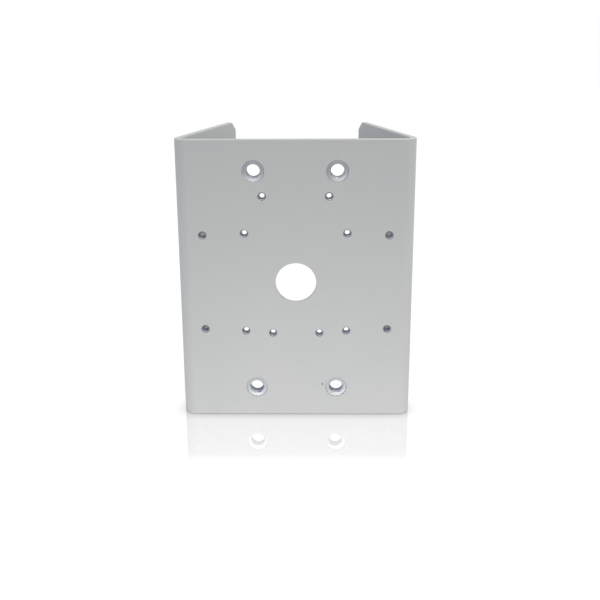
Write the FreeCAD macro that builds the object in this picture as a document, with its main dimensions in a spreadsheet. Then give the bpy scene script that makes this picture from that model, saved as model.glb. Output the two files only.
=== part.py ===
import FreeCAD, Part
import math
import os
import Sketcher

# Camera pole mount adapter.
# One sheet folded into a plate with two wings that lean in behind it and straddle a pole.
# Four large and twelve small clinch nuts are pressed into the plate from behind.
# The origin is the centre of the cable hole on the plate's front face.
# X runs across the plate, Y runs back towards the pole and Z is up.

TOLERANCE = 1e-6
NORMAL = FreeCAD.Vector(0, 0, 1)

# Driving dimensions, in millimetres and degrees.
SIZES = {
    # The folded sheet
    "sheet_thickness": 4.0,
    "plate_width": 152.0,
    "plate_height": 186.0,
    "bend_inner_radius": 4.0,
    "wing_lean_angle": 22.5,
    "wing_flat_length": 76.0,
    "wing_corner_chamfer": 5.5,
    "cable_hole_diameter": 26.5,
    # The strap slots in the wings
    "strap_slot_width": 8.0,
    "strap_slot_length": 26.0,
    "strap_slot_to_edge": 13.0,
    "strap_slot_spacing": 100.0,
    # The nut patterns, centre to centre or centre to the plate's edge
    "mount_spacing_across": 53.0,
    "mount_nut_to_edge": 20.0,
    "outer_nut_to_edge": 16.25,
    "outer_spacing_up": 63.5,
    "inner_spacing_across": 66.0,
    "inner_spacing_up": 66.0,
    "upper_pair_spacing": 42.5,
    "upper_pair_below_mounts": 16.0,
    "lower_pair_spacing": 30.5,
    "lower_pair_drop": 34.5,
    # The large clinch nut, thread M10 x 1.5
    "large_hole_diameter": 14.0,
    "large_thread_bore": 8.5,
    "large_thread_mouth": 10.4,
    "large_shank_length": 3.05,
    "large_ring_diameter": 15.6,
    "large_ring_depth": 0.9,
    "large_lip_width": 0.6,
    "large_lip_bite": 0.45,
    "large_head_diameter": 17.35,
    "large_head_height": 5.0,
    "large_head_chamfer": 0.6,
    # The small clinch nut, thread M4 x 0.7
    "small_hole_diameter": 5.4,
    "small_thread_bore": 3.3,
    "small_thread_mouth": 4.4,
    "small_shank_length": 2.21,
    "small_ring_diameter": 6.3,
    "small_ring_depth": 0.45,
    "small_lip_width": 0.35,
    "small_lip_bite": 0.2,
    "small_head_diameter": 7.87,
    "small_head_height": 2.0,
    "small_head_chamfer": 0.25,
    # Radial play between a nut and the sheet that grips it
    "clinch_play": 0.03,
}


def size(alias):
    """The sheet's name for one driving dimension, as an expression."""
    return "Sizes." + alias


def make_sizes(doc):
    """Put every driving dimension in a spreadsheet cell with its own alias."""
    sheet = doc.addObject("Spreadsheet::Sheet", "Sizes")
    for row, (alias, value) in enumerate(SIZES.items(), start=1):
        sheet.set(f"A{row}", alias)
        sheet.set(f"B{row}", str(value))
        sheet.setAlias(f"B{row}", alias)
    doc.recompute()
    return sheet


# Derived sizes, as expressions of the driving ones.
THICKNESS = size("sheet_thickness")
INNER_RADIUS = size("bend_inner_radius")
OUTER_RADIUS = f"({INNER_RADIUS} + {THICKNESS})"
LEAN_SIN = f"sin({size('wing_lean_angle')} * 1deg)"
LEAN_COS = f"cos({size('wing_lean_angle')} * 1deg)"
BEND_CENTRE = f"({size('plate_width')} / 2 - {OUTER_RADIUS})"
HALF_HEIGHT = f"({size('plate_height')} / 2)"


def corner_across(radius):
    """Half the width between the sharp corners that a bend of this radius rounds off."""
    return f"({BEND_CENTRE} + {radius} * (1 + {LEAN_SIN}) / {LEAN_COS})"


def rear_across(radius):
    """Half the width between the wings' rear corners, on the face at this bend radius."""
    return f"({BEND_CENTRE} + {radius} * {LEAN_COS} - {size('wing_flat_length')} * {LEAN_SIN})"


def rear_depth(radius):
    """How far behind the plate's front a wing's rear corner is, on the same face."""
    return f"({OUTER_RADIUS} + {radius} * {LEAN_SIN} + {size('wing_flat_length')} * {LEAN_COS})"


# Sketch helpers


def origin_plane(body, role):
    """One of the body's own three origin planes."""
    return next(feature for feature in body.Origin.OriginFeatures if feature.Role == role)


def new_sketch(body, name, role):
    """An empty sketch on one of the body's origin planes."""
    sketch = body.newObject("Sketcher::SketchObject", name)
    sketch.AttachmentSupport = [(origin_plane(body, role), "")]
    sketch.MapMode = "FlatFace"
    return sketch


def value_point(sketch, across, up):
    """The point that two expressions give now, in the sketch's plane."""
    return FreeCAD.Vector(float(sketch.evalExpression(across)), float(sketch.evalExpression(up)), 0)


def pin_point(sketch, geometry, vertex, across, up):
    """Hold a sketch point at two expressions, measured from the sketch's origin."""
    for kind, axis, expression in (("DistanceX", -2, across), ("DistanceY", -1, up)):
        value = float(sketch.evalExpression(expression))
        if abs(value) < TOLERANCE:
            sketch.addConstraint(Sketcher.Constraint("PointOnObject", geometry, vertex, axis))
            continue
        ends = (-1, 1, geometry, vertex) if value > 0 else (geometry, vertex, -1, 1)
        index = sketch.addConstraint(Sketcher.Constraint(kind, *ends, abs(value)))
        sketch.setExpression(f"Constraints[{index}]", f"abs({expression})")


def add_outline(sketch, points):
    """A closed outline of straight lines through points given as pairs of expressions."""
    corners = [value_point(sketch, across, up) for across, up in points]
    count = len(points)
    for index in range(count):
        sketch.addGeometry(Part.LineSegment(corners[index], corners[(index + 1) % count]))
    for index in range(count):
        joint = Sketcher.Constraint("Coincident", index, 2, (index + 1) % count, 1)
        sketch.addConstraint(joint)
    for index, (across, up) in enumerate(points):
        pin_point(sketch, index, 1, across, up)


def add_circle(sketch, across, up, diameter):
    """A circle whose centre and diameter are expressions."""
    centre = value_point(sketch, across, up)
    radius = float(sketch.evalExpression(diameter)) / 2
    index = sketch.addGeometry(Part.Circle(centre, NORMAL, radius))
    pin_point(sketch, index, 3, across, up)
    driven = sketch.addConstraint(Sketcher.Constraint("Diameter", index, 2 * radius))
    sketch.setExpression(f"Constraints[{driven}]", diameter)


def add_upright_slot(sketch, across, middle, width, length):
    """An upright slot with round ends, from the expressions of its centre and size."""
    end_reach = f"({length} - {width}) / 2"
    top = value_point(sketch, across, f"{middle} + {end_reach}")
    bottom = value_point(sketch, across, f"{middle} - {end_reach}")
    radius = float(sketch.evalExpression(width)) / 2
    side = FreeCAD.Vector(radius, 0, 0)
    upper_round = Part.ArcOfCircle(Part.Circle(top, NORMAL, radius), 0, math.pi)
    lower_round = Part.ArcOfCircle(Part.Circle(bottom, NORMAL, radius), math.pi, 2 * math.pi)
    upper = sketch.addGeometry(upper_round)
    left = sketch.addGeometry(Part.LineSegment(top - side, bottom - side))
    lower = sketch.addGeometry(lower_round)
    right = sketch.addGeometry(Part.LineSegment(bottom + side, top + side))
    for first, first_end, second, second_end in (
        (upper, 2, left, 1),
        (left, 2, lower, 1),
        (lower, 2, right, 1),
        (right, 2, upper, 1),
    ):
        sketch.addConstraint(Sketcher.Constraint("Tangent", first, first_end, second, second_end))
    pin_point(sketch, upper, 3, across, f"{middle} + {end_reach}")
    pin_point(sketch, lower, 3, across, f"{middle} - {end_reach}")
    driven = sketch.addConstraint(Sketcher.Constraint("Radius", upper, radius))
    sketch.setExpression(f"Constraints[{driven}]", f"{width} / 2")


def cut(doc, body, name, sketch, depth):
    """A pocket behind the sketch, checked for having taken something away."""
    before = body.Shape.Volume
    pocket = body.newObject("PartDesign::Pocket", name)
    pocket.Profile = sketch
    pocket.setExpression("Length", depth)
    doc.recompute()
    if before - body.Shape.Volume < TOLERANCE:
        raise RuntimeError(f"{name} cuts nothing")
    return pocket


def edges_where(shape, test):
    """The names of the shape's straight edges that pass a test on their two ends."""
    names = []
    for number, edge in enumerate(shape.Edges, start=1):
        if len(edge.Vertexes) == 2 and edge.Curve.TypeId == "Part::GeomLine":
            if test(*(vertex.Point for vertex in edge.Vertexes)):
                names.append(f"Edge{number}")
    return names


# Where the nuts go


def pattern(spacing_across, spacing_up=None, height="0"):
    """Nut places as (place in the pattern, across, up), two or four of them."""
    rows = [("", height)]
    if spacing_up is not None:
        rows = [("top_", f"{spacing_up} / 2"), ("bottom_", f"-{spacing_up} / 2")]
    sides = (("left", f"-{spacing_across} / 2"), ("right", f"{spacing_across} / 2"))
    return [(row + side, across, up) for row, up in rows for side, across in sides]


MOUNT_SPACING_UP = f"({size('plate_height')} - 2 * {size('mount_nut_to_edge')})"
OUTER_SPACING_ACROSS = f"({size('plate_width')} - 2 * {size('outer_nut_to_edge')})"
UPPER_PAIR_RISE = f"({MOUNT_SPACING_UP} / 2 - {size('upper_pair_below_mounts')})"
LOWER_PAIR_RISE = f"-{size('lower_pair_drop')}"
LARGE_PLACES = {
    "mount_nut": pattern(size("mount_spacing_across"), MOUNT_SPACING_UP),
}
SMALL_PLACES = {
    "outer_nut": pattern(OUTER_SPACING_ACROSS, size("outer_spacing_up")),
    "inner_nut": pattern(size("inner_spacing_across"), size("inner_spacing_up")),
    "upper_pair_nut": pattern(size("upper_pair_spacing"), height=UPPER_PAIR_RISE),
    "lower_pair_nut": pattern(size("lower_pair_spacing"), height=LOWER_PAIR_RISE),
}
PLACES = {"large": LARGE_PLACES, "small": SMALL_PLACES}


# The folded sheet


def fold_sheet(doc, body):
    """The sheet's folded section, drawn with sharp corners and raised to the plate's height."""
    section = new_sketch(body, "FoldedSection", "XY_Plane")
    rear_outer = (rear_across(OUTER_RADIUS), rear_depth(OUTER_RADIUS))
    rear_inner = (rear_across(INNER_RADIUS), rear_depth(INNER_RADIUS))
    front_outer = (corner_across(OUTER_RADIUS), "0")
    front_inner = (corner_across(INNER_RADIUS), THICKNESS)
    right = [front_outer, rear_outer, rear_inner, front_inner]
    left = [(f"-{across}", depth) for across, depth in reversed(right)]
    add_outline(section, right + left)
    fold = body.newObject("PartDesign::Pad", "FoldedStrip")
    fold.Profile = section
    fold.Midplane = True
    fold.setExpression("Length", size("plate_height"))
    doc.recompute()


def round_bends(doc, body, name, depth, radius):
    """Round the two upright corner edges that stand at one depth behind the plate's front."""
    level = float(body.evalExpression(depth))

    def is_corner(start, end):
        upright = abs(start.x - end.x) < TOLERANCE and abs(start.y - end.y) < TOLERANCE
        return upright and abs(start.y - level) < TOLERANCE

    base = body.Tip
    bend = body.newObject("PartDesign::Fillet", name)
    bend.Base = (base, edges_where(base.Shape, is_corner))
    bend.setExpression("Radius", radius)
    doc.recompute()


def chamfer_wing_corners(doc, body):
    """Take the sharp corners off the wings' rear ends, top and bottom."""
    nearest = float(body.evalExpression(rear_depth(INNER_RADIUS)))
    half_height = float(body.evalExpression(HALF_HEIGHT))

    def is_rear_corner(start, end):
        behind = min(start.y, end.y) > nearest - TOLERANCE
        level = abs(start.z - end.z) < TOLERANCE and abs(abs(start.z) - half_height) < TOLERANCE
        return behind and level

    base = body.Tip
    chamfer = body.newObject("PartDesign::Chamfer", "WingCorners")
    chamfer.Base = (base, edges_where(base.Shape, is_rear_corner))
    chamfer.setExpression("Size", size("wing_corner_chamfer"))
    doc.recompute()


def cut_cable_hole(doc, body):
    """The hole in the middle of the plate that the cable passes through."""
    sketch = new_sketch(body, "CableHoleCircle", "XZ_Plane")
    add_circle(sketch, "0", "0", size("cable_hole_diameter"))
    cut(doc, body, "CableHole", sketch, THICKNESS)


def cut_nut_seats(doc, body, kind):
    """The stepped holes of one kind of nut: clear hole, gripping lip and ring pocket."""
    hole = size(f"{kind}_hole_diameter")
    ring_depth = size(f"{kind}_ring_depth")
    lip_width = size(f"{kind}_lip_width")
    clear_depth = f"({THICKNESS} - {ring_depth} - {lip_width})"
    ring_start = f"({THICKNESS} - {ring_depth})"
    layers = (
        ("ClearHoles", hole, "0", clear_depth),
        ("Lips", f"({hole} - 2 * {size(f'{kind}_lip_bite')})", "0", THICKNESS),
        ("RingPockets", size(f"{kind}_ring_diameter"), ring_start, ring_depth),
    )
    for layer, diameter, start, depth in layers:
        name = kind.capitalize() + layer
        sketch = new_sketch(body, name + "Circles", "XZ_Plane")
        sketch.setExpression("AttachmentOffset.Base.z", f"-{start}")
        for places in PLACES[kind].values():
            for _, across, up in places:
                add_circle(sketch, across, up, diameter)
        cut(doc, body, name, sketch, depth)


def cut_strap_slots(doc, body):
    """Two upright slots near the rear edge of each wing, punched square to the wing."""
    sketch = new_sketch(body, "StrapSlotOutlines", "YZ_Plane")
    lean = float(body.evalExpression(size("wing_lean_angle")))
    sketch.AttachmentOffset = FreeCAD.Placement(
        FreeCAD.Vector(0, 0, 0), FreeCAD.Rotation(FreeCAD.Vector(0, -1, 0), lean)
    )
    sketch.setExpression("AttachmentOffset.Base.x", rear_depth(INNER_RADIUS))
    sketch.setExpression("AttachmentOffset.Base.z", f"-{rear_across(INNER_RADIUS)}")
    sketch.setExpression("AttachmentOffset.Rotation.Angle", size("wing_lean_angle"))
    for sign in ("", "-"):
        add_upright_slot(
            sketch,
            f"-{size('strap_slot_to_edge')}",
            f"{sign}{size('strap_slot_spacing')} / 2",
            size("strap_slot_width"),
            size("strap_slot_length"),
        )
    slots = cut(doc, body, "StrapSlots", sketch, THICKNESS)
    mirrored = body.newObject("PartDesign::Mirrored", "StrapSlotsBothWings")
    mirrored.Originals = [slots]
    mirrored.MirrorPlane = (origin_plane(body, "YZ_Plane"), [""])
    body.Tip = mirrored
    doc.recompute()


def make_bracket(doc):
    """The folded bracket, one sheet from wing to wing."""
    body = doc.addObject("PartDesign::Body", "FoldedBracket")
    body.Label = "folded_bracket"
    fold_sheet(doc, body)
    round_bends(doc, body, "OuterBends", "0", OUTER_RADIUS)
    round_bends(doc, body, "InnerBends", THICKNESS, INNER_RADIUS)
    chamfer_wing_corners(doc, body)
    cut_strap_slots(doc, body)
    cut_cable_hole(doc, body)
    for kind in PLACES:
        cut_nut_seats(doc, body, kind)
    return body


# The clinch nuts


def nut_profile(kind):
    """Half of a nut's section as (radius, depth behind the seat), from the shank's front round."""
    play = size("clinch_play")
    bore = f"{size(f'{kind}_thread_bore')} / 2"
    mouth = f"{size(f'{kind}_thread_mouth')} / 2"
    countersink = f"({mouth} - {bore})"
    shank = f"({size(f'{kind}_hole_diameter')} / 2 - {play})"
    groove = f"({shank} - {size(f'{kind}_lip_bite')})"
    ring = f"({size(f'{kind}_ring_diameter')} / 2 - {play})"
    head = f"{size(f'{kind}_head_diameter')} / 2"
    front = size(f"{kind}_shank_length")
    ring_front = size(f"{kind}_ring_depth")
    groove_front = f"({ring_front} + {size(f'{kind}_lip_width')})"
    back = size(f"{kind}_head_height")
    chamfer = size(f"{kind}_head_chamfer")
    return [
        (mouth, f"-{front}"),
        (shank, f"-{front}"),
        (shank, f"-{groove_front}"),
        (groove, f"-{groove_front}"),
        (groove, f"-{ring_front}"),
        (ring, f"-{ring_front}"),
        (ring, "0"),
        (head, "0"),
        (head, f"{back} - {chamfer}"),
        (f"{head} - {chamfer}", back),
        (mouth, back),
        (bore, f"{back} - {countersink}"),
        (bore, f"-{front} + {countersink}"),
    ]


def make_nut(doc, name, kind, across, up):
    """One clinch nut, turned about its thread's axis and pressed into the plate from behind."""
    body = doc.addObject("PartDesign::Body", name.title().replace("_", ""))
    body.Label = name
    section = new_sketch(body, body.Name + "Section", "XY_Plane")
    add_outline(section, nut_profile(kind))
    turned = body.newObject("PartDesign::Revolution", body.Name + "Turned")
    turned.Profile = section
    turned.ReferenceAxis = (section, ["V_Axis"])
    turned.Angle = 360
    body.setExpression("Placement.Base.x", across)
    body.setExpression("Placement.Base.y", THICKNESS)
    body.setExpression("Placement.Base.z", up)
    return body


def make_nuts(doc):
    """Every nut of both kinds, named for its pattern and its place in it."""
    nuts = []
    for kind, patterns in PLACES.items():
        for family, places in patterns.items():
            for place, across, up in places:
                nuts.append(make_nut(doc, f"{family}_{place}", kind, across, up))
    doc.recompute()
    return nuts


# Checks and files


def check(doc, pieces):
    """Stop if any object failed to build or any piece isn't one valid solid."""
    for item in doc.Objects:
        if {"Invalid", "Error"} & set(item.State):
            raise RuntimeError(f"{item.Label}: {item.State}")
    for piece in pieces:
        shape = piece.Shape
        if shape.isNull() or not shape.isValid() or len(shape.Solids) != 1:
            raise RuntimeError(f"{piece.Label} isn't one valid solid")


def main():
    doc = FreeCAD.newDocument("PoleMountAdapter")
    make_sizes(doc)
    pieces = [make_bracket(doc)] + make_nuts(doc)
    check(doc, pieces)
    os.makedirs("parts", exist_ok=True)
    for piece in pieces:
        piece.Shape.exportStep(os.path.join("parts", piece.Label + ".step"))
        box = piece.Shape.BoundBox
        print(
            f"{piece.Label}: {piece.Shape.Volume:.1f} mm3, "
            f"x {box.XMin:.2f} to {box.XMax:.2f}, y {box.YMin:.2f} to {box.YMax:.2f}, "
            f"z {box.ZMin:.2f} to {box.ZMax:.2f}"
        )


main()
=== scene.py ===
# %% [markdown]
# # Camera pole mount adapter
# A bracket folded from one steel sheet, powder coated light grey, with zinc plated clinch nuts.
# The nuts are pressed into its plate from behind, and a camera arm is screwed to them.
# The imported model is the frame: it gives the sizes and places here, in metres, with Z up.
# The plate faces -Y, towards the camera, and the wings lean back and inwards behind it.

# %% Load the frame
import math

import bmesh
import bpy
from mathutils import Matrix, Vector


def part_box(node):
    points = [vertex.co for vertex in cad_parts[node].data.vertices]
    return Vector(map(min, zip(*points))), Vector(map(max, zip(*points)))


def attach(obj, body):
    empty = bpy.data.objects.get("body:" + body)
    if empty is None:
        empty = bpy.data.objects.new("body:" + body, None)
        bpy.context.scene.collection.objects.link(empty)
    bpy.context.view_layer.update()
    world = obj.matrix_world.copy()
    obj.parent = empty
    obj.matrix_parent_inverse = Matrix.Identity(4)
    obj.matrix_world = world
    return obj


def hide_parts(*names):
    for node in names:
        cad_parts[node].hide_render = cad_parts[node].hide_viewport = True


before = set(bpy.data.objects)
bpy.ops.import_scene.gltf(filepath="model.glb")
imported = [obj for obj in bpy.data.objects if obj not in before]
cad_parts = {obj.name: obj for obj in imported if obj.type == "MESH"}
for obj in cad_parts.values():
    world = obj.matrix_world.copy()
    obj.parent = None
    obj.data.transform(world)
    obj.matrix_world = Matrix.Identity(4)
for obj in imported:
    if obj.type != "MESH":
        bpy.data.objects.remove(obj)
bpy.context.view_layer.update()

MM = 0.001


def sides(low, high):
    """The three sides of a box, in millimetres."""
    return [round((end - start) / MM, 2) for start, end in zip(low, high)]

print("nodes in the frame:", len(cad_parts))

# %% [markdown]
# ## Sizes
# What can be read from the frame is read from it, so the looks follow the solids.
# The rest are the sheet's own numbers: its thickness, the bends' radius and the wings' lean.
# They could be measured off the solids, but a drawing for a folder gives just these few numbers.
# Blender works in metres, so a factor keeps them in the millimetres of that drawing.

# %% The sheet's and the plate's sizes
plate_low, plate_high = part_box("folded_bracket")
HALF_WIDTH = plate_high.x
HALF_HEIGHT = plate_high.z
SHEET = 4.0 * MM
BEND_RADIUS = 4.0 * MM
WING_LEAN = math.radians(22.5)
WING_FLAT = 76.0 * MM
WING_CHAMFER = 5.5 * MM
print("folded bracket's box, mm:", sides(plate_low, plate_high))

# %% Where the nuts sit
def nut_seats(*words):
    """Points on the axes of the nuts whose names start so, level with the sheet's back."""
    seats = {}
    for name in sorted(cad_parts):
        if name.startswith(words):
            low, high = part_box(name)
            seats[name] = Vector(((low.x + high.x) / 2, SHEET, (low.z + high.z) / 2))
    return seats

large_seats = nut_seats("mount_nut")
small_seats = nut_seats("outer_nut", "inner_nut", "upper_pair_nut", "lower_pair_nut")
print("large nuts:", len(large_seats), "small nuts:", len(small_seats))

# %% [markdown]
# ## The camera
# The photograph was taken from a little above, looking down at the plate from straight in front.
# The camera could be placed by eye, but every proportion hangs on it, so it was fitted to the
# plate's edges and the nuts' centres in the picture.
# The lens follows from the same fit: the focal length in pixels over the picture's width.

# %% Stand the camera where the photograph was taken
PICTURE_SIDE = 600  # pixels
FOCAL_PIXELS = 971.4
LOOK_DOWN = 0.3201  # radians below level
LOOK_ASIDE = -0.0137  # radians from straight ahead, to the left where negative
CAMERA_ROLL = -0.0044  # radians about its line of sight
CAMERA_DISTANCE = 633.1 * MM
AIM = Vector((2.62, 0.0, -11.57)) * MM
SENSOR_WIDTH = 36.0  # in millimetres, as Blender counts lenses

forward = Vector((
    math.sin(LOOK_ASIDE) * math.cos(LOOK_DOWN),
    math.cos(LOOK_ASIDE) * math.cos(LOOK_DOWN),
    -math.sin(LOOK_DOWN),
))
level_right = forward.cross(Vector((0, 0, 1))).normalized()
level_up = level_right.cross(forward)
right = level_right * math.cos(CAMERA_ROLL) + level_up * math.sin(CAMERA_ROLL)
up = level_up * math.cos(CAMERA_ROLL) - level_right * math.sin(CAMERA_ROLL)
turn = Matrix((right, up, -forward)).transposed().to_4x4()

camera = bpy.data.objects.new("camera", bpy.data.cameras.new("camera"))
bpy.context.scene.collection.objects.link(camera)
camera.matrix_world = Matrix.Translation(AIM - forward * CAMERA_DISTANCE) @ turn
camera.data.sensor_width = SENSOR_WIDTH
camera.data.lens = SENSOR_WIDTH * FOCAL_PIXELS / PICTURE_SIDE
camera.data.clip_start = 0.01
camera.data.clip_end = 50.0
bpy.context.scene.camera = camera
print(f"lens {camera.data.lens:.1f} mm, camera at", [round(value, 3) for value in camera.location])

# %% [markdown]
# ## Materials
# A material is a tree of nodes, which could be drawn in the editor. A script makes the same one
# each time, and a small helper keeps it short: it adds a node and fills its inputs in one call.
# Patterns read Object coordinates or the piece's own attribute, so they stay on it from every side.

# %% Helpers for nodes
def socket_named(sockets, key):
    """The live socket with a name, or the one at a number."""
    if isinstance(key, int):
        return sockets[key]
    return next(socket for socket in sockets if socket.name == key and socket.enabled)


def add_node(tree, kind, inputs=None, **settings):
    """A new node with its settings, and a value or a link for each input that is given."""
    node = tree.nodes.new(kind)
    for name, value in settings.items():
        setattr(node, name, value)
    for key, value in (inputs or {}).items():
        socket = socket_named(node.inputs, key)
        if isinstance(value, bpy.types.NodeSocket):
            tree.links.new(value, socket)
        else:
            socket.default_value = value
    return node


def result(node, name="Result"):
    """The live output of a node by its name."""
    return socket_named(node.outputs, name)


def new_material(name):
    """A material with an empty tree."""
    material = bpy.data.materials.new(name)
    material.use_nodes = True
    material.node_tree.nodes.clear()
    return material, material.node_tree

print("nodes are named as in Blender", bpy.app.version_string)

# %% [markdown]
# ### Powder coat
# The powder melts in an oven and flows into a skin with a faint orange peel, about a millimetre
# across. The peel could be real geometry, but it is only a few hundredths of a millimetre high,
# so a bump gives the same look with no faces.
# Slow noise varies the grey by a few percent, and finer noise varies the sheen.
# One tiny dark inclusion sits beside a lower nut, where the photograph has it.

# %% The coat's colour
COAT_GREYS = ((0.555, 0.566, 0.574, 1.0), (0.585, 0.588, 0.584, 1.0))
CLOUDS_PER_METRE = 24.0
SPECK_COLOUR = (0.07, 0.065, 0.06, 1.0)
SPECK_PLACE = (17.4 * MM, 0.0, -70.9 * MM)
SPECK_RADIUS = 0.75 * MM
SPECK_SHARE = 0.95

powder_coat, tree = new_material("powder_coat_light_grey")
place = add_node(tree, "ShaderNodeTexCoord").outputs["Object"]
cloud = add_node(tree, "ShaderNodeTexNoise", {
    "Vector": place, "Scale": CLOUDS_PER_METRE, "Detail": 3.0,
})
grey = add_node(tree, "ShaderNodeMix", {
    "Factor": cloud.outputs["Fac"], "A": COAT_GREYS[0], "B": COAT_GREYS[1],
}, data_type="RGBA")
from_speck = add_node(tree, "ShaderNodeVectorMath", {
    0: place, 1: SPECK_PLACE,
}, operation="DISTANCE")
speck = add_node(tree, "ShaderNodeMapRange", {
    "Value": result(from_speck, "Value"),
    "From Min": 0.5 * SPECK_RADIUS, "From Max": SPECK_RADIUS,
    "To Min": SPECK_SHARE, "To Max": 0.0,
})
colour = add_node(tree, "ShaderNodeMix", {
    "Factor": result(speck), "A": result(grey), "B": SPECK_COLOUR,
}, data_type="RGBA")
print("speck at, mm:", [round(value / MM, 1) for value in SPECK_PLACE])

# %% The coat's skin
PEEL_PER_METRE, PEEL_HEIGHT = 850.0, 0.05 * MM
GRAIN_PER_METRE, GRAIN_HEIGHT = 3600.0, 0.008 * MM
COAT_ROUGHNESS = (0.50, 0.63)

peel = add_node(tree, "ShaderNodeTexNoise", {
    "Vector": place, "Scale": PEEL_PER_METRE, "Detail": 2.0, "Roughness": 0.45,
})
grain = add_node(tree, "ShaderNodeTexNoise", {
    "Vector": place, "Scale": GRAIN_PER_METRE, "Detail": 1.0,
})
sheen = add_node(tree, "ShaderNodeMapRange", {
    "Value": grain.outputs["Fac"], "To Min": COAT_ROUGHNESS[0], "To Max": COAT_ROUGHNESS[1],
})
peel_bump = add_node(tree, "ShaderNodeBump", {
    "Height": peel.outputs["Fac"], "Strength": 0.55, "Distance": PEEL_HEIGHT,
})
grain_bump = add_node(tree, "ShaderNodeBump", {
    "Height": grain.outputs["Fac"], "Strength": 0.30, "Distance": GRAIN_HEIGHT,
    "Normal": peel_bump.outputs["Normal"],
})
coat = add_node(tree, "ShaderNodeBsdfPrincipled", {
    "Base Color": result(colour), "Roughness": result(sheen), "IOR": 1.5,
    "Normal": grain_bump.outputs["Normal"],
})
add_node(tree, "ShaderNodeOutputMaterial", {"Surface": coat.outputs["BSDF"]})
print("powder coat:", len(tree.nodes), "nodes")

# %% [markdown]
# ### Bright zinc
# The nuts are turned from bar and zinc plated, with the bluish tint of a clear passivation.
# The cutting tool leaves fine rings. They could be a picture wound round the nut, but that needs
# unwrapping. Instead the length of the tool's run over the nut is stored on its points, and noise
# along that length gives rings on faces and rounds alike.
# Deep in a hole the colour is painted darker and bluer: painted shade, with a blue tint as a
# painted reflection of the glints there.
# The walls there are also made less metallic. A second value on the points says how much of that
# painted shade each one gets.

# %% The zinc's colour
TOOL_RUN = "tool_run"
HOLE_SHADE = "inwards"
ZINC_TINTS = ((0.48, 0.518, 0.567, 1.0), (0.56, 0.577, 0.595, 1.0))
FILM_PER_METRE = 180.0
# painted shade for the walls deep in the holes, tinted blue as a painted reflection
HOLE_SHADE_COLOUR = (0.08, 0.12, 0.215, 1.0)

zinc, tree = new_material("zinc_plated_steel")
place = add_node(tree, "ShaderNodeTexCoord").outputs["Object"]
film = add_node(tree, "ShaderNodeTexNoise", {
    "Vector": place, "Scale": FILM_PER_METRE, "Detail": 2.0,
})
tint = add_node(tree, "ShaderNodeMix", {
    "Factor": film.outputs["Fac"], "A": ZINC_TINTS[0], "B": ZINC_TINTS[1],
}, data_type="RGBA")
# The painted shade in the holes: a darker, bluer colour and less metal, by depth
inwards = add_node(tree, "ShaderNodeAttribute", attribute_name=HOLE_SHADE)
zinc_and_hole_shade = add_node(tree, "ShaderNodeMix", {
    "Factor": inwards.outputs["Fac"], "A": result(tint), "B": HOLE_SHADE_COLOUR,
}, data_type="RGBA")
print("values that the nuts' points carry:", TOOL_RUN, HOLE_SHADE)

# %% The zinc's sheen
RINGS_PER_METRE, RING_HEIGHT = 9000.0, 0.01 * MM
SATIN_ROUGHNESS = (0.32, 0.44)
THREAD_ROUGHNESS = 0.30
METAL_OUTSIDE, METAL_INSIDE = 1.0, 0.45

run = add_node(tree, "ShaderNodeAttribute", attribute_name=TOOL_RUN)
rings = add_node(tree, "ShaderNodeTexNoise", {
    "W": run.outputs["Fac"], "Scale": RINGS_PER_METRE, "Detail": 2.0,
}, noise_dimensions="1D")
satin = add_node(tree, "ShaderNodeMapRange", {
    "Value": rings.outputs["Fac"], "To Min": SATIN_ROUGHNESS[0], "To Max": SATIN_ROUGHNESS[1],
})
polish = add_node(tree, "ShaderNodeMix", {
    "Factor": inwards.outputs["Fac"], "A": result(satin), "B": THREAD_ROUGHNESS,
}, data_type="FLOAT")
bare = add_node(tree, "ShaderNodeMapRange", {
    "Value": inwards.outputs["Fac"], "To Min": METAL_OUTSIDE, "To Max": METAL_INSIDE,
})
ring_bump = add_node(tree, "ShaderNodeBump", {
    "Height": rings.outputs["Fac"], "Strength": 0.25, "Distance": RING_HEIGHT,
})
plating = add_node(tree, "ShaderNodeBsdfPrincipled", {
    "Base Color": result(zinc_and_hole_shade), "Metallic": result(bare), "Roughness": result(polish),
    "Normal": ring_bump.outputs["Normal"],
})
add_node(tree, "ShaderNodeOutputMaterial", {"Surface": plating.outputs["BSDF"]})
print("zinc:", len(tree.nodes), "nodes")

# %% [markdown]
# ## The folded sheet
# A press brake folds the blank along two upright lines, so the part is one section raised to its
# height. It could be a thin surface that Solidify thickens, but then the bends' inner and outer
# radius and the wings' cut corners would come out only nearly right.
# Here the section is a ladder of points across the sheet, which keeps every cut edge in neat quads.
# The bends get many short steps, and the flats get none, because they are flat.

# %% The section's ladder
BEND_STEPS = 18
bend_centre = Vector((HALF_WIDTH - BEND_RADIUS - SHEET, BEND_RADIUS + SHEET))
wing_way = Vector((-math.sin(WING_LEAN), math.cos(WING_LEAN)))


def wing_rungs():
    """Rungs of one half, from the plate's end to the wing's rear.

    A rung is its outer point, its inner point and the half height of the sheet there.
    """
    rungs = []
    for step in range(BEND_STEPS + 1):
        angle = -math.pi / 2 + (math.pi / 2 + WING_LEAN) * step / BEND_STEPS
        ray = Vector((math.cos(angle), math.sin(angle)))
        outer = bend_centre + ray * (BEND_RADIUS + SHEET)
        inner = bend_centre + ray * BEND_RADIUS
        rungs.append((outer, inner, HALF_HEIGHT))
    ends = ((WING_FLAT - WING_CHAMFER, HALF_HEIGHT), (WING_FLAT, HALF_HEIGHT - WING_CHAMFER))
    for reach, half in ends:
        rungs.append((outer + wing_way * reach, inner + wing_way * reach, half))
    return rungs


def mirrored(point):
    """A point of the section on the other side of the plate's middle."""
    return Vector((-point.x, point.y))

half_ladder = wing_rungs()
ladder = [
    (mirrored(outer), mirrored(inner), half) for outer, inner, half in reversed(half_ladder)
] + half_ladder
wing_tip = ladder[-1][0]
print(f"{len(ladder)} rungs, wing tip at x {wing_tip.x / MM:.1f}, y {wing_tip.y / MM:.1f} mm")

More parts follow.
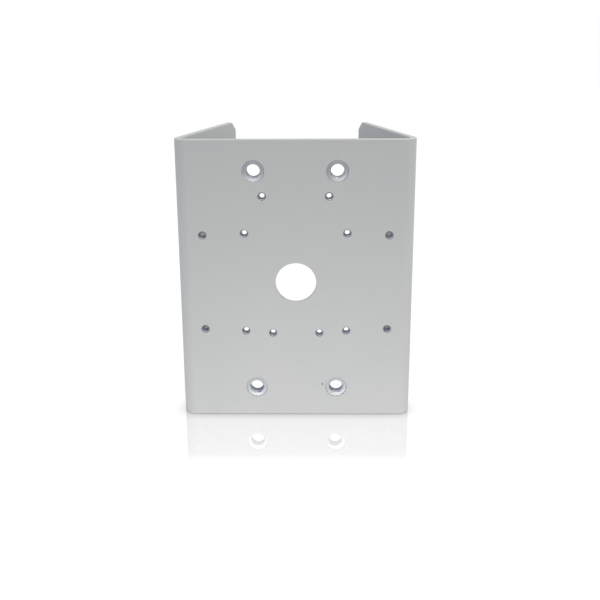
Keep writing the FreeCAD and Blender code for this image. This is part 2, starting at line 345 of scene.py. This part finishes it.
# %% [markdown]
# A mesh builder turns the ladder into faces, and a bevel rounds every cut edge by a few tenths of
# a millimetre, as tumbling and the coat do on the real part. The modifier is then made part of
# the mesh, because the punches that follow need its finished faces.

# %% Helpers for meshes
def mesh_object(name, mesh):
    """A new object for a mesh, at the origin of the scene."""
    made = bpy.data.objects.new(name, mesh)
    bpy.context.scene.collection.objects.link(made)
    return made


def tell_form(name, work):
    """Print a closed form's faces and volume, and how many of its edges are open."""
    open_edges = sum(1 for edge in work.edges if len(edge.link_faces) != 2)
    volume = work.calc_volume() / MM ** 3
    print(f"{name}: {len(work.faces)} faces, {volume:.1f} mm3, open edges {open_edges}")


def form_object(name, work):
    """An object of a closed form, with its faces turned outwards."""
    bmesh.ops.recalc_face_normals(work, faces=work.faces)
    tell_form(name, work)
    mesh = bpy.data.meshes.new(name)
    work.to_mesh(mesh)
    work.free()
    return mesh_object(name, mesh)


def settle(thing):
    """Turn an object's modifiers into its mesh, and take them off."""
    bpy.context.view_layer.update()
    evaluated = thing.evaluated_get(bpy.context.evaluated_depsgraph_get())
    mesh = bpy.data.meshes.new_from_object(evaluated)
    thing.modifiers.clear()
    thing.data = mesh
    return thing

# %% Raise the section and round its cut edges
COATED_EDGE = 0.7 * MM
COATED_EDGE_STEPS = 4
CUT_EDGE_ANGLE = math.radians(40)


def raise_section(name, rungs):
    """A closed sheet: two broad sides, and quads over all its cut edges."""
    work = bmesh.new()
    posts = []
    for outer, inner, half in rungs:
        posts.append([
            work.verts.new((point.x, point.y, z)) for point in (outer, inner) for z in (-half, half)
        ])
    for here, there in zip(posts, posts[1:]):
        for first, second in ((0, 1), (1, 3), (3, 2), (2, 0)):
            work.faces.new((here[first], there[first], there[second], here[second]))
    for post in (posts[0], posts[-1]):
        work.faces.new((post[0], post[1], post[3], post[2]))
    return form_object(name, work)

bracket = raise_section("coated_bracket", ladder)
rounding = bracket.modifiers.new("coated edges", "BEVEL")
rounding.width = COATED_EDGE
rounding.segments = COATED_EDGE_STEPS
rounding.limit_method = "ANGLE"
rounding.angle_limit = CUT_EDGE_ANGLE
settle(bracket)
print("folded sheet with rounded edges:", len(bracket.data.polygons), "faces")

# %% [markdown]
# ## Copies on points
# The same hole and the same nut come many times. A loop could copy them, but one tree of Geometry
# Nodes does it for all: it puts a copy of a piece on each point, turned as the point says.
# A spin about the nut's axis, from a fixed seed, keeps the threads from starting all alike.
# The copies are made real at the end, because the kept model holds no instances.

# %% The tree that places copies
TURN = "turn"
TREE_INPUTS = (
    ("Places", "NodeSocketGeometry"),
    ("Piece", "NodeSocketObject"),
    ("Most Spin", "NodeSocketFloat"),
    ("Seed", "NodeSocketInt"),
    ("Finish", "NodeSocketMaterial"),
)


def placed_copies_tree():
    """Copies of a piece on the points of a mesh, with a turn from the points and a random spin."""
    tree = bpy.data.node_groups.new("placed_copies", "GeometryNodeTree")
    for name, kind in TREE_INPUTS:
        tree.interface.new_socket(name, in_out="INPUT", socket_type=kind)
    tree.interface.new_socket("Copies", in_out="OUTPUT", socket_type="NodeSocketGeometry")
    given = add_node(tree, "NodeGroupInput").outputs
    piece = add_node(tree, "GeometryNodeObjectInfo", {"Object": given["Piece"]})
    chance = add_node(tree, "FunctionNodeRandomValue", {
        "Max": given["Most Spin"], "Seed": given["Seed"],
    }, data_type="FLOAT")
    spin = add_node(tree, "ShaderNodeCombineXYZ", {"Y": result(chance, "Value")})
    turned = add_node(tree, "GeometryNodeInputNamedAttribute", {
        "Name": TURN,
    }, data_type="FLOAT_VECTOR")
    both = add_node(tree, "ShaderNodeVectorMath", {
        0: result(turned, "Attribute"), 1: spin.outputs["Vector"],
    }, operation="ADD")
    euler = add_node(tree, "FunctionNodeEulerToRotation", {"Euler": result(both, "Vector")})
    copies = add_node(tree, "GeometryNodeInstanceOnPoints", {
        "Points": given["Places"], "Instance": piece.outputs["Geometry"],
        "Rotation": euler.outputs["Rotation"],
    })
    real = add_node(tree, "GeometryNodeRealizeInstances", {
        "Geometry": copies.outputs["Instances"],
    })
    finished = add_node(tree, "GeometryNodeSetMaterial", {
        "Geometry": real.outputs["Geometry"], "Material": given["Finish"],
    })
    add_node(tree, "NodeGroupOutput", {"Copies": finished.outputs["Geometry"]})
    return tree

copies_tree = placed_copies_tree()
print("copies tree:", len(copies_tree.nodes), "nodes")

# %% Put the tree to work
named_inputs = {item.name: item.identifier for item in copies_tree.interface.items_tree}


def put_copies(name, piece, places, turns=None, most_spin=0.0, seed=0, finish=None):
    """One real mesh of copies of a piece, at places and turns given in metres and radians."""
    mesh = bpy.data.meshes.new(name)
    mesh.from_pydata([tuple(point) for point in places], [], [])
    layer = mesh.attributes.new(TURN, "FLOAT_VECTOR", "POINT")
    for index, value in enumerate(turns or [(0.0, 0.0, 0.0)] * len(places)):
        layer.data[index].vector = value
    host = mesh_object(name, mesh)
    modifier = host.modifiers.new("placed copies", "NODES")
    modifier.node_group = copies_tree
    for label, value in (
        ("Piece", piece), ("Most Spin", most_spin), ("Seed", seed), ("Finish", finish),
    ):
        if value is not None:
            modifier[named_inputs[label]] = value
    settle(host)
    bpy.data.objects.remove(piece)
    return host

print("the tree's sockets:", named_inputs)

# %% [markdown]
# ## Holes and slots
# The holes are punched, and the coat rounds their rims. A bevel could round them after the cut,
# but it easily goes wrong around a circle. So each punch is a solid with the hole's outline, wider
# by that rounding where it meets a face, and one cut gives the hole and its soft rim together.
# The nuts' seats have steps: the clear hole, a lip that grips the nut's groove, and a pocket for
# its ring.

# %% The side of a soft rim
RIM = 0.3 * MM
RIM_STEPS = 4
RIM_START, RIM_END = 14, 90  # degrees of the rounding, which starts steep enough to cut cleanly
RIM_FLARE = 0.97  # how wide the punch is outside the sheet, in roundings
PUNCH_OVERRUN = 1.0 * MM


def rim(radius, face, inwards):
    """Points of a punch's side where a hole meets a face: (radius, depth), from outside inwards."""
    points = [(radius + RIM * RIM_FLARE, face - inwards * PUNCH_OVERRUN)]
    for step in range(RIM_STEPS + 1):
        angle = math.radians(RIM_START + (RIM_END - RIM_START) * step / RIM_STEPS)
        wider, deeper = RIM * (1 - math.sin(angle)), RIM * (1 - math.cos(angle))
        points.append((radius + wider, face + inwards * deeper))
    return points

print("rim's extra radius and depth, mm:", [
    (round(wider / MM, 2), round(deeper / MM, 2)) for wider, deeper in rim(0.0, 0.0, 1)
])

# %% The kinds of hole
CABLE_HOLE_RADIUS = 13.25 * MM
SLOT_WIDTH, SLOT_LENGTH = 8.0 * MM, 26.0 * MM
SLOT_TO_EDGE, SLOT_SPACING = 13.0 * MM, 100.0 * MM


def through_side(radius):
    """The side of a punch that goes through the sheet, with a soft rim on both faces."""
    return rim(radius, 0.0, 1) + rim(radius, SHEET, -1)[::-1]


def seat_side(hole, lip, pocket, clear_depth, pocket_depth):
    """The side of a punch for a nut's seat, from the front rim to the ring's pocket at the back."""
    pocket_front = SHEET - pocket_depth
    return rim(hole, 0.0, 1) + [
        (hole, clear_depth), (lip, clear_depth), (lip, pocket_front), (pocket, pocket_front),
        (pocket, SHEET + PUNCH_OVERRUN),
    ]

large_side = seat_side(
    hole=7.0 * MM, lip=6.55 * MM, pocket=7.8 * MM, clear_depth=2.5 * MM, pocket_depth=0.9 * MM,
)
small_side = seat_side(
    hole=2.7 * MM, lip=2.5 * MM, pocket=3.15 * MM, clear_depth=3.2 * MM, pocket_depth=0.45 * MM,
)
print("points of a large seat's side:", len(large_side), "of a small one's:", len(small_side))

# %% Make the punches
def skin(work, rings):
    """Quads between each ring of vertices and the next."""
    for here, there in zip(rings, rings[1:]):
        for corner, first in enumerate(here):
            after = (corner + 1) % len(here)
            work.faces.new((first, here[after], there[after], there[corner]))


def punch_object(name, side, straight=0.0, corners=64):
    """A punch along Y from its side's (radius, depth) points, with an upright straight part."""
    work = bmesh.new()
    rings = []
    for radius, depth in side:
        ring = []
        for corner in range(corners):
            angle = 2 * math.pi * (corner + 0.5) / corners
            shift = math.copysign(straight / 2, math.sin(angle))
            point = (radius * math.cos(angle), depth, radius * math.sin(angle) + shift)
            ring.append(work.verts.new(point))
        rings.append(ring)
    skin(work, rings)
    for ring in (rings[0], rings[-1]):
        work.faces.new(ring)
    return form_object(name, work)

to_front = Vector((0.0, -SHEET, 0.0))
cable_punch = put_copies(
    "cable_punch", punch_object("round punch", through_side(CABLE_HOLE_RADIUS), corners=96),
    [(0, 0, 0)],
)
large_punches = put_copies(
    "large_punches", punch_object("large seat punch", large_side),
    [seat + to_front for seat in large_seats.values()],
)
small_punches = put_copies(
    "small_punches", punch_object("small seat punch", small_side, corners=40),
    [seat + to_front for seat in small_seats.values()],
)

# %% Make the slots' punches
slot_middle = half_ladder[-1][0] - wing_way * SLOT_TO_EDGE
slot_places, slot_turns = [], []
for hand in (-1, 1):
    for level in (-1, 1):
        slot_places.append((hand * slot_middle.x, slot_middle.y, level * SLOT_SPACING / 2))
        slot_turns.append((0.0, 0.0, hand * (math.pi / 2 + WING_LEAN)))

slot_punches = put_copies(
    "slot_punches",
    punch_object(
        "slot punch", through_side(SLOT_WIDTH / 2), straight=SLOT_LENGTH - SLOT_WIDTH, corners=48,
    ),
    slot_places, slot_turns,
)

# %% Punch the sheet
punches = (cable_punch, large_punches, small_punches, slot_punches)
for punch in punches:
    hole = bracket.modifiers.new(punch.name, "BOOLEAN")
    hole.operation = "DIFFERENCE"
    hole.solver = "EXACT"
    hole.object = punch
settle(bracket)
for punch in punches:
    bpy.data.objects.remove(punch)
print("punched sheet:", len(bracket.data.polygons), "faces")

# %% [markdown]
# ### Shading
# Large flats next to small roundings need care with their normals. Plain smooth shading would
# draw soft shadows across the flats, and flat shading would show every step of a bend.
# Weighted normals let each broad face keep its own, so the light changes only on the roundings.
# The finished sheet then stands for its node and takes the coat.

# %% Shade the bracket and let it stand for its node
SMOOTH_BELOW = math.radians(32)


def shade(thing):
    """Smooth shading with sharp creases, where broad faces rule the normals."""
    thing.data.shade_smooth()
    thing.data.set_sharp_from_angle(angle=SMOOTH_BELOW)
    weighting = thing.modifiers.new("weighted normals", "WEIGHTED_NORMAL")
    weighting.keep_sharp = True
    return settle(thing)


shade(bracket)
bracket.data.materials.clear()
bracket.data.materials.append(powder_coat)
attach(bracket, "root")
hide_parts("folded_bracket")

probe = bmesh.new()
probe.from_mesh(bracket.data)
tell_form(bracket.name, probe)
probe.free()

# %% [markdown]
# ## Clinch nuts
# A clinch nut is turned in one go: a shank that ends short of the plate's front, a groove that the
# sheet flows into, a ring that grips, and a head that stays behind the plate.
# The two sizes differ only in their numbers, so one recipe reads them from a list of sizes.
# Depths count from the sheet's back, and the head grows away from it.
# One value in each list says how much of the painted shade inside a hole shows, from 0 to 1.

# %% The two sizes of nut
LARGE_NUT = {
    "corners": 56, "hole_shade_share": 1.0,
    "pitch": 1.5 * MM, "bore": 4.33 * MM, "root": 5.03 * MM,
    "mouth": 4.65 * MM, "rear_mouth": 5.2 * MM, "dish": 0.21 * MM,
    "shank": 3.05 * MM, "shank_radius": 6.97 * MM, "edge": 0.15 * MM,
    "lip_width": 0.6 * MM, "lip_bite": 0.45 * MM,
    "ring_radius": 7.77 * MM, "ring_depth": 0.9 * MM,
    "head_radius": 8.675 * MM, "head_height": 5.0 * MM, "chamfer": 0.6 * MM,
}
SMALL_NUT = {
    "corners": 40, "hole_shade_share": 0.83,
    "pitch": 0.7 * MM, "bore": 1.71 * MM, "root": 2.02 * MM,
    "mouth": 2.2 * MM, "rear_mouth": 2.2 * MM, "dish": 0.06 * MM,
    "shank": 2.21 * MM, "shank_radius": 2.67 * MM, "edge": 0.08 * MM,
    "lip_width": 0.35 * MM, "lip_bite": 0.2 * MM,
    "ring_radius": 3.12 * MM, "ring_depth": 0.45 * MM,
    "head_radius": 3.935 * MM, "head_height": 2.0 * MM, "chamfer": 0.25 * MM,
}
for nut in (LARGE_NUT, SMALL_NUT):
    length = nut["shank"] + nut["head_height"]
    print(f"a nut {length / MM:.2f} mm long with {length / nut['pitch']:.1f} turns of thread")

# %% [markdown]
# ### The thread
# It is real geometry, because the photograph shows its dark turns in every hole. A Screw modifier
# could wind it, but it would end square. Here each row of points follows the helix, so the crests
# stay clean, and the rows fade into the countersinks at both ends.

# %% The thread's form
CREST_END, ROOT_START, ROOT_END = 0.25, 0.5625, 0.6875
THREAD_PHASES = (0.0, 0.125, CREST_END, 0.354, 0.458, ROOT_START, ROOT_END, 0.792, 0.896)
THREAD_RUNOUT = 0.6  # in pitches
FRONT_HOLE_SHADE = 0.8  # how much painted shade a wall gets at one shank's radius behind the plate's front
BRIGHT_REAR = 0.25  # how deep the bright rear end reaches, in radii of the bore


def thread_height(phase):
    """How deep the thread is at a phase of its turn, from 0 at the crest to 1 at the root."""
    if phase < CREST_END:
        return 0.0
    if phase < ROOT_START:
        return (phase - CREST_END) / (ROOT_START - CREST_END)
    if phase < ROOT_END:
        return 1.0
    return (1.0 - phase) / (1.0 - ROOT_END)


def painted_hole_shade(nut, depth):
    """How much painted shade a hole's wall gets at a depth, from 0 at either face to the nut's
    share inside.
    """
    from_front, from_back = SHEET + depth, nut["head_height"] - depth
    by_front = FRONT_HOLE_SHADE * from_front / nut["shank_radius"]
    by_back = from_back / (BRIGHT_REAR * nut["bore"])
    return nut["hole_shade_share"] * min(1.0, by_front, by_back)

print("thread's height over a turn:", [round(thread_height(phase), 2) for phase in THREAD_PHASES])
print("dullness at the shanks' ends:", [
    round(painted_hole_shade(nut, -nut["shank"]), 2) for nut in (LARGE_NUT, SMALL_NUT)
])

# %% Cut the thread
def add_thread(work, run_layer, hole_shade_layer, nut):
    """A right-hand internal thread between the countersinks, in rows that follow its helix."""
    back, front_end = nut["head_height"], nut["dish"] - nut["shank"]
    turns = (back - front_end) / nut["pitch"]
    previous = None
    for turn_number in range(math.ceil(turns) + 2):
        for phase in THREAD_PHASES:
            turned, height = turn_number + phase, thread_height(phase)
            row = []
            for corner in range(nut["corners"] + 1):
                share = corner / nut["corners"]
                depth = min(max(front_end + nut["pitch"] * (turned - share), front_end), back)
                from_front, from_back = depth - front_end, back - depth
                cone = max(nut["mouth"] - from_front, nut["rear_mouth"] - from_back)
                runout = min(from_front, from_back) / (THREAD_RUNOUT * nut["pitch"])
                thread = height * min(1.0, runout)
                wall = max(nut["bore"] + (nut["root"] - nut["bore"]) * thread, cone)
                angle = 2 * math.pi * share
                vertex = work.verts.new((wall * math.cos(angle), depth, wall * math.sin(angle)))
                vertex[run_layer] = turned * nut["pitch"]
                # Each point gets painted shade by its depth in the hole.
                vertex[hole_shade_layer] = painted_hole_shade(nut, depth)
                row.append(vertex)
            if previous:
                for corner in range(nut["corners"]):
                    after = corner + 1
                    work.faces.new((previous[corner], previous[after], row[after], row[corner]))
            previous = row

# %% Turn the whole nut
WELD = 0.002 * MM


def nut_profile(nut):
    """The outside of a nut as (radius, depth) points, from its front mouth to its rear one."""
    edge, head, back = nut["edge"], nut["head_radius"], nut["head_height"]
    shank, front_end = nut["shank_radius"], -nut["shank"]
    groove_front = -nut["ring_depth"] - nut["lip_width"]
    groove = shank - nut["lip_bite"]
    return groove_front, [
        (nut["mouth"], front_end + nut["dish"]), (shank - edge, front_end),
        (shank, front_end + edge), (shank, groove_front),
        (groove, groove_front), (groove, -nut["ring_depth"]),
        (nut["ring_radius"], -nut["ring_depth"]), (nut["ring_radius"], 0.0),
        (head - edge, 0.0), (head, edge),
        (head, back - nut["chamfer"]), (head - nut["chamfer"], back),
        (nut["rear_mouth"], back),
    ]


def turned_nut(name, nut):
    """A clinch nut about Y, with the sheet's back at depth 0 and its head behind that."""
    groove_front, profile = nut_profile(nut)
    work = bmesh.new()
    run_layer = work.verts.layers.float.new(TOOL_RUN)
    hole_shade_layer = work.verts.layers.float.new(HOLE_SHADE)
    rings, travelled = [], 0.0
    for index, (radius, depth) in enumerate(profile):
        if index:
            travelled += math.dist(profile[index - 1], profile[index])
        ring = []
        for corner in range(nut["corners"]):
            angle = 2 * math.pi * corner / nut["corners"]
            vertex = work.verts.new((radius * math.cos(angle), depth, radius * math.sin(angle)))
            vertex[run_layer] = travelled
            # Points in front of the groove, the shank's face among them, get painted shade by
            # depth.
            vertex[hole_shade_layer] = painted_hole_shade(nut, depth) if depth < groove_front else 0.0
            ring.append(vertex)
        rings.append(ring)
    skin(work, rings)
    add_thread(work, run_layer, hole_shade_layer, nut)
    bmesh.ops.remove_doubles(work, verts=work.verts, dist=WELD)
    return form_object(name, work)

large_nut = turned_nut("large nut", LARGE_NUT)
small_nut = turned_nut("small nut", SMALL_NUT)

# %% [markdown]
# ### The nuts in their seats
# The press takes each nut as it comes, so no two threads start at the same angle.
# Each nut could be an object of its own, but they are never moved alone. So all nuts of a size
# become one mesh, which stands for all their nodes.

# %% Press the nuts in
FULL_TURN = 2 * math.pi
large_nuts = put_copies(
    "large_clinch_nuts", large_nut, list(large_seats.values()),
    most_spin=FULL_TURN, seed=4, finish=zinc,
)
small_nuts = put_copies(
    "small_clinch_nuts", small_nut, list(small_seats.values()),
    most_spin=FULL_TURN, seed=12, finish=zinc,
)
for nuts, seats in ((large_nuts, large_seats), (small_nuts, small_seats)):
    shade(nuts)
    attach(nuts, "root")
    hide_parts(*seats)
    print(nuts.name, len(nuts.data.polygons), "faces for", len(seats), "nodes")

# %% [markdown]
# ## Floor and light
# The part stands on a white floor that carries a faint mirror image near it, as polished acrylic
# does. A white lamp-lit floor would need so much light that the part would glare. So the camera
# and the mirrors see the floor and the world as white, while both light it at a plain level.
# Some of the floor's own shading stays in what the camera sees, which keeps the part's shadow,
# and a painted contact shadow darkens the floor's glow where the part touches it.

# %% The floor's mesh
FLOOR_SIDE = 24.0

floor_mesh = bpy.data.meshes.new("floor")
floor_mesh.from_pydata([
    (x * FLOOR_SIDE / 2, y * FLOOR_SIDE / 2, -HALF_HEIGHT)
    for x, y in ((-1, -1), (1, -1), (1, 1), (-1, 1))
], [], [(0, 1, 2, 3)])
floor = mesh_object("floor", floor_mesh)
print("floor:", FLOOR_SIDE, "m wide, at z", round(-HALF_HEIGHT / MM, 1), "mm")

# %% The floor's white
FLOOR_COLOUR = (0.84, 0.84, 0.84, 1.0)
FLOOR_GLOW = 1.20
SEEN_WHITE = 0.72  # share of the glow in what is seen, the rest being the floor's own shading
CONTACT_REACH = 10.0 * MM


def calculate(tree, operation, *values):
    """The result of one sum with numbers or sockets."""
    inputs = dict(enumerate(values))
    return result(add_node(tree, "ShaderNodeMath", inputs, operation=operation), "Value")


def is_seen(tree, rays):
    """1 for a ray of the camera, off a mirror or through glass, and 0 for rays that carry light."""
    seen = calculate(tree, "MAXIMUM", rays["Is Camera Ray"], rays["Is Glossy Ray"])
    return calculate(tree, "MAXIMUM", seen, rays["Is Transmission Ray"])

floor_white, tree = new_material("white_floor")
rays = add_node(tree, "ShaderNodeLightPath").outputs
lift = calculate(tree, "MULTIPLY", is_seen(tree, rays), SEEN_WHITE)
matt = add_node(tree, "ShaderNodeBsdfDiffuse", {"Color": FLOOR_COLOUR})
# An occlusion test darkens the glow near the part: a painted contact shadow.
contact_shadow = add_node(tree, "ShaderNodeAmbientOcclusion", {"Distance": CONTACT_REACH}, samples=8)
glow = add_node(tree, "ShaderNodeEmission", {
    "Color": contact_shadow.outputs["Color"], "Strength": FLOOR_GLOW,
})
plain = add_node(tree, "ShaderNodeMixShader", {
    0: lift, 1: matt.outputs["BSDF"], 2: glow.outputs["Emission"],
})
print(f"the floor is seen as {SEEN_WHITE:.0%} plain white")

# %% [markdown]
# The mirror image is strongest right under the part and gone about 11 cm from its middle line.
# A wholly glossy floor would mirror everything, so the share of gloss fades with that distance.

# %% The floor's faint mirror
MIRROR_LINE = 40.0 * MM
MIRROR_NEAR, MIRROR_FAR = 40.0 * MM, 100.0 * MM
SHARE_NEAR, SHARE_FAR = 0.46, 0.32
FADE_START, FADE_END = 96.0 * MM, 115.0 * MM
MIRROR_ROUGHNESS = 0.04

on_floor = add_node(tree, "ShaderNodeSeparateXYZ", {
    0: add_node(tree, "ShaderNodeTexCoord").outputs["Object"],
}).outputs
distance = calculate(
    tree, "ABSOLUTE", calculate(tree, "SUBTRACT", on_floor["Y"], MIRROR_LINE),
)
shine = add_node(tree, "ShaderNodeMapRange", {
    "Value": distance, "From Min": MIRROR_NEAR, "From Max": MIRROR_FAR,
    "To Min": SHARE_NEAR, "To Max": SHARE_FAR,
})
fade = add_node(tree, "ShaderNodeMapRange", {
    "Value": distance, "From Min": FADE_START, "From Max": FADE_END,
    "To Min": 1.0, "To Max": 0.0,
}, interpolation_type="SMOOTHSTEP")
mirror = calculate(tree, "MULTIPLY", result(shine), result(fade))
gloss = add_node(tree, "ShaderNodeBsdfGlossy", {
    "Color": (1, 1, 1, 1), "Roughness": MIRROR_ROUGHNESS,
})
polished = add_node(tree, "ShaderNodeMixShader", {
    0: mirror, 1: plain.outputs["Shader"], 2: gloss.outputs["BSDF"],
})
print(f"the mirror image fades out {FADE_START / MM:.0f} to {FADE_END / MM:.0f} mm from its line")

# %% [markdown]
# A grey card lies flat in front, outside the picture, as photographers lay one for metal.
# The upright faces of the nuts and the plate look towards it, so they darken a little.
# It could be an object of its own, but that would show in other views. So it is a patch of the
# floor that only the other rays meet, and the floor looks plain from every side.

# %% The grey card
CARD_GREY = (0.18, 0.18, 0.18, 1.0)
CARD_MIDDLE, CARD_HALF_DEPTH, CARD_HALF_WIDTH = -1.71, 1.29, 1.5

from_card = calculate(tree, "SUBTRACT", on_floor["Y"], CARD_MIDDLE)
on_card = calculate(tree, "SUBTRACT", 1.0, rays["Is Camera Ray"])
for offset, half in ((from_card, CARD_HALF_DEPTH), (on_floor["X"], CARD_HALF_WIDTH)):
    near = calculate(tree, "COMPARE", offset, 0.0, half)
    on_card = calculate(tree, "MULTIPLY", on_card, near)
card = add_node(tree, "ShaderNodeBsdfDiffuse", {"Color": CARD_GREY})
laid = add_node(tree, "ShaderNodeMixShader", {
    0: on_card, 1: polished.outputs["Shader"], 2: card.outputs["BSDF"],
})
add_node(tree, "ShaderNodeOutputMaterial", {"Surface": laid.outputs["Shader"]})
floor.data.materials.append(floor_white)
print("white floor:", len(tree.nodes), "nodes")

# %% [markdown]
# The world is soft light all round, slightly blue, like a big white tent by a window.
# A picture of a studio could light the part too, but an even world looks plain from every side.
# Where it is seen, it is white, as the floor is.

# %% The world
FILL_LEVEL = 0.68
FILL_COLOUR = (0.87, 0.895, 0.985, 1.0)
world = bpy.data.worlds.new("studio")
bpy.context.scene.world = world
world.use_nodes = True
tree = world.node_tree
tree.nodes.clear()
rays = add_node(tree, "ShaderNodeLightPath").outputs
soft = add_node(tree, "ShaderNodeBackground", {"Color": FILL_COLOUR, "Strength": FILL_LEVEL})
white = add_node(tree, "ShaderNodeBackground", {"Color": (1, 1, 1, 1), "Strength": 1.0})
both = add_node(tree, "ShaderNodeMixShader", {
    0: is_seen(tree, rays), 1: soft.outputs["Background"], 2: white.outputs["Background"],
})
add_node(tree, "ShaderNodeOutputWorld", {"Surface": both.outputs["Shader"]})
print("fill level:", FILL_LEVEL)

# %% [markdown]
# The lamps are one broad softbox above on the right, and one low soft spot from the front.
# The softbox brightens the cut edges and the left wing's inner side, and leaves the right wing's
# darker. One lamp alone would light the plate evenly, but in the photograph it brightens downwards,
# so the spot aims at its foot.

# %% The lamps
def aim_light(lamp, position, target):
    """Link a lamp's object at a position, turned towards a target."""
    thing = bpy.data.objects.new(lamp.name, lamp)
    bpy.context.scene.collection.objects.link(thing)
    thing.location = position
    thing.rotation_euler = (Vector(target) - Vector(position)).to_track_quat("-Z", "Y").to_euler()
    return thing

softbox = bpy.data.lights.new("softbox", "AREA")
softbox.shape = "RECTANGLE"
softbox.size, softbox.size_y = 1.2, 1.0
softbox.energy = 5.8
softbox.color = (1.0, 0.98, 0.76)
aim_light(softbox, position=(0.33, -0.24, 1.02), target=(0.0, 0.0, 0.0))

low_spot = bpy.data.lights.new("low_spot", "SPOT")
low_spot.spot_size = math.radians(32)
low_spot.spot_blend = 1.0
low_spot.shadow_soft_size = 0.12
low_spot.energy = 11.0
low_spot.color = (1.0, 0.99, 0.94)
aim_light(low_spot, position=(-0.06, -1.0, 0.10), target=(0.0, 0.0, -0.18))
print("lamps, W:", softbox.energy, low_spot.energy)

# %% [markdown]
# ## The view
# Blender can bend the tones of a picture as film does. The Standard view leaves each colour as it
# is written, so the coat's grey can be set against the photograph's.

# %% Show the colours as they are
bpy.context.scene.view_settings.view_transform = "Standard"
print("view:", bpy.context.scene.view_settings.view_transform)
